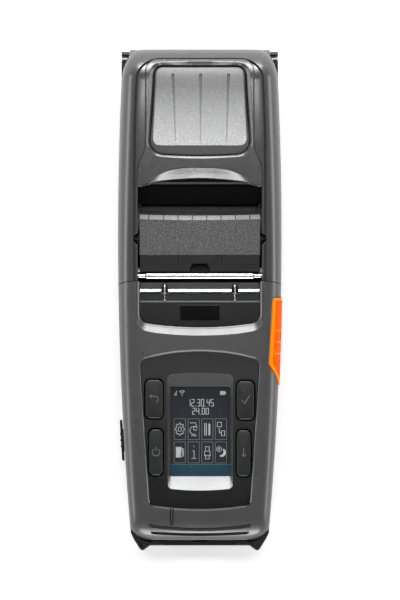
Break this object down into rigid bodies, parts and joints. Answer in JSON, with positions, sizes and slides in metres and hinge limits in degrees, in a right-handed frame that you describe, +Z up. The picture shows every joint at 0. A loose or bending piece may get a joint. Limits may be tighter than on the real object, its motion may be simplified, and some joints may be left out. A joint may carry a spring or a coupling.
{
  "type": "mobile label printer",
  "caption": "Belt-worn label printer lying on its back: hinged roll-bay lid with window, peel-off label exit, colour screen with keys, orange lid release and slide-out battery.",
  "frame": {"origin": "bottom centre of the bounding box, on the table under the feet", "axes": "+Z up from the table, +Y towards the lid hinge, -Y towards the screen end, +X to the right of the screen"},
  "size_m": [0.0801, 0.245, 0.0618],
  "materials": {
    "case": "fine grain",
    "front_case": "fine grain",
    "cover": "fine grain",
    "dark_panel": "satin",
    "black_plastic": "satin",
    "badge": "gloss",
    "screen": "clear over a dark display",
    "window": "frosted",
    "display": "satin",
    "board": "solder resist",
    "tin": "satin",
    "steel": "zinc plated",
    "chrome": "polished",
    "alloy": "extruded",
    "ceramic": "glazed ceramic",
    "rubber": "matt",
    "seal": "satin",
    "orange": "satin",
    "natural_plastic": "natural acetal",
    "brass": "bright",
    "bronze": "sintered",
    "cable": "flat cable"
  },
  "bodies": {
    "case": {"base_housing": "case", "front_housing": "front_case", "control_panel": "dark_panel", "screen_lens": "screen", "lcd_module": "display", "main_board": "board", "key_switches": "tin", "trim_panel": "dark_panel", "badge_plate": "badge", "tear_plate": "steel", "wire_guides": "chrome", "print_head": "ceramic", "heat_sink": "alloy", "head_springs": "steel", "head_bracket": "steel", "chassis": "steel", "stepper_motor": "tin", "pivot_pins": "steel", "hinge_pin": "chrome", "corner_bumpers": "rubber", "rubber_feet": "rubber", "battery_sleeve": "black_plastic", "battery_contacts": "brass", "port_block": "tin", "paper_cradle": "black_plastic", "guide_rods": "chrome", "housing_screws": "steel", "board_screws": "steel", "head_cable": "cable", "button_spring": "steel", "media_sensor": "black_plastic"},
    "lid": {"lid_frame": "front_case", "lid_cover": "cover", "lid_window": "window", "window_seal": "seal", "lid_liner": "black_plastic", "platen_bushes": "bronze", "guide_bar": "black_plastic", "latch_pin": "steel"},
    "platen": {"platen_shaft": "chrome", "platen_rubber": "rubber", "platen_gear": "natural_plastic"},
    "idler": {"idler_gear": "natural_plastic"},
    "motor_gear": {"motor_pinion": "brass"},
    "peel": {"peel_roller": "chrome"},
    "peeler": {"peeler_cover": "dark_panel", "peeler_frame": "black_plastic"},
    "pinch": {"pinch_roller": "rubber"},
    "button": {"release_button": "orange"},
    "hook": {"latch_hook": "steel"},
    "left_guide": {"left_roll_guide": "black_plastic"},
    "right_guide": {"right_roll_guide": "black_plastic"},
    "centring": {"centring_pinion": "natural_plastic"},
    "back": {"back_key": "dark_panel"},
    "ok": {"ok_key": "dark_panel"},
    "power": {"power_key": "dark_panel"},
    "feed": {"feed_key": "dark_panel"},
    "flap": {"port_flap": "rubber"},
    "battery": {"battery_pack": "dark_panel"},
    "catch": {"battery_latch": "black_plastic"}
  },
  "joints": [
    {"name": "lid_hinge", "type": "hinge", "parent": "case", "child": "lid", "pos_m": [0, 0.1182, 0.024], "axis": [-1, 0, 0], "range_deg": [0, 80]},
    {"name": "platen_spin", "type": "hinge", "parent": "lid", "child": "platen", "pos_m": [0, 0.014, 0.0395], "axis": [1, 0, 0], "continuous": true},
    {"name": "idler_spin", "type": "hinge", "parent": "case", "child": "idler", "pos_m": [-0.0343, 0.00081, 0.03027], "axis": [1, 0, 0], "continuous": true},
    {"name": "motor_spin", "type": "hinge", "parent": "case", "child": "motor_gear", "pos_m": [-0.0343, -0.01529, 0.03027], "axis": [1, 0, 0], "continuous": true},
    {"name": "peel_roller_spin", "type": "hinge", "parent": "lid", "child": "peel", "pos_m": [0, 0.0117, 0.0494], "axis": [1, 0, 0], "continuous": true},
    {"name": "peeler_hinge", "type": "hinge", "parent": "lid", "child": "peeler", "pos_m": [0, 0.0298, 0.0472], "axis": [-1, 0, 0], "range_deg": [0, 35]},
    {"name": "pinch_spin", "type": "hinge", "parent": "peeler", "child": "pinch", "pos_m": [0, 0.0234, 0.0434], "axis": [1, 0, 0], "continuous": true},
    {"name": "release_press", "type": "slide", "parent": "case", "child": "button", "axis": [-0.7071, 0, -0.7071], "range_m": [0, 0.002], "stiffness_N_per_m": 600},
    {"name": "hook_pivot", "type": "hinge", "parent": "case", "child": "hook", "pos_m": [0.034, 0.0061, 0.017], "axis": [1, 0, 0], "range_deg": [0, 9.2], "deforming": ["button_spring"]},
    {"name": "left_guide_slide", "type": "slide", "parent": "case", "child": "left_guide", "axis": [1, 0, 0], "range_m": [0, 0.012]},
    {"name": "right_guide_slide", "type": "slide", "parent": "case", "child": "right_guide", "axis": [-1, 0, 0], "range_m": [0, 0.0121]},
    {"name": "centring_spin", "type": "hinge", "parent": "case", "child": "centring", "pos_m": [0, 0.086, 0.005], "axis": [0, 0, 1], "range_deg": [-116, 1]},
    {"name": "back_press", "type": "slide", "parent": "case", "child": "back", "axis": [0, 0.0785, -0.9969], "range_m": [0, 0.0008], "stiffness_N_per_m": 800},
    {"name": "ok_press", "type": "slide", "parent": "case", "child": "ok", "axis": [0, 0.0785, -0.9969], "range_m": [0, 0.0008], "stiffness_N_per_m": 800},
    {"name": "power_press", "type": "slide", "parent": "case", "child": "power", "axis": [0, 0.0785, -0.9969], "range_m": [0, 0.0008], "stiffness_N_per_m": 800},
    {"name": "feed_press", "type": "slide", "parent": "case", "child": "feed", "axis": [0, 0.0785, -0.9969], "range_m": [0, 0.0008], "stiffness_N_per_m": 800},
    {"name": "flap_hinge", "type": "hinge", "parent": "case", "child": "flap", "pos_m": [-0.03807, -0.06876, 0.008], "axis": [0.0593, -0.9982, 0], "range_deg": [0, 95]},
    {"name": "battery_slide", "type": "slide", "parent": "case", "child": "battery", "axis": [0, -1, 0], "range_m": [0, 0.06]},
    {"name": "battery_catch", "type": "slide", "parent": "case", "child": "catch", "axis": [0, 0, 1], "range_m": [0, 0.0015], "stiffness_N_per_m": 300}
  ],
  "couplings": [
    {"joint": "idler_spin", "follows": "platen_spin", "ratio": -0.4375},
    {"joint": "motor_spin", "follows": "platen_spin", "ratio": 1},
    {"joint": "hook_pivot", "follows": "release_press", "rad_per_m": 78.5},
    {"joint": "right_guide_slide", "follows": "left_guide_slide", "ratio": 1},
    {"joint": "centring_spin", "follows": "left_guide_slide", "rad_per_m": -166.67}
  ]
}
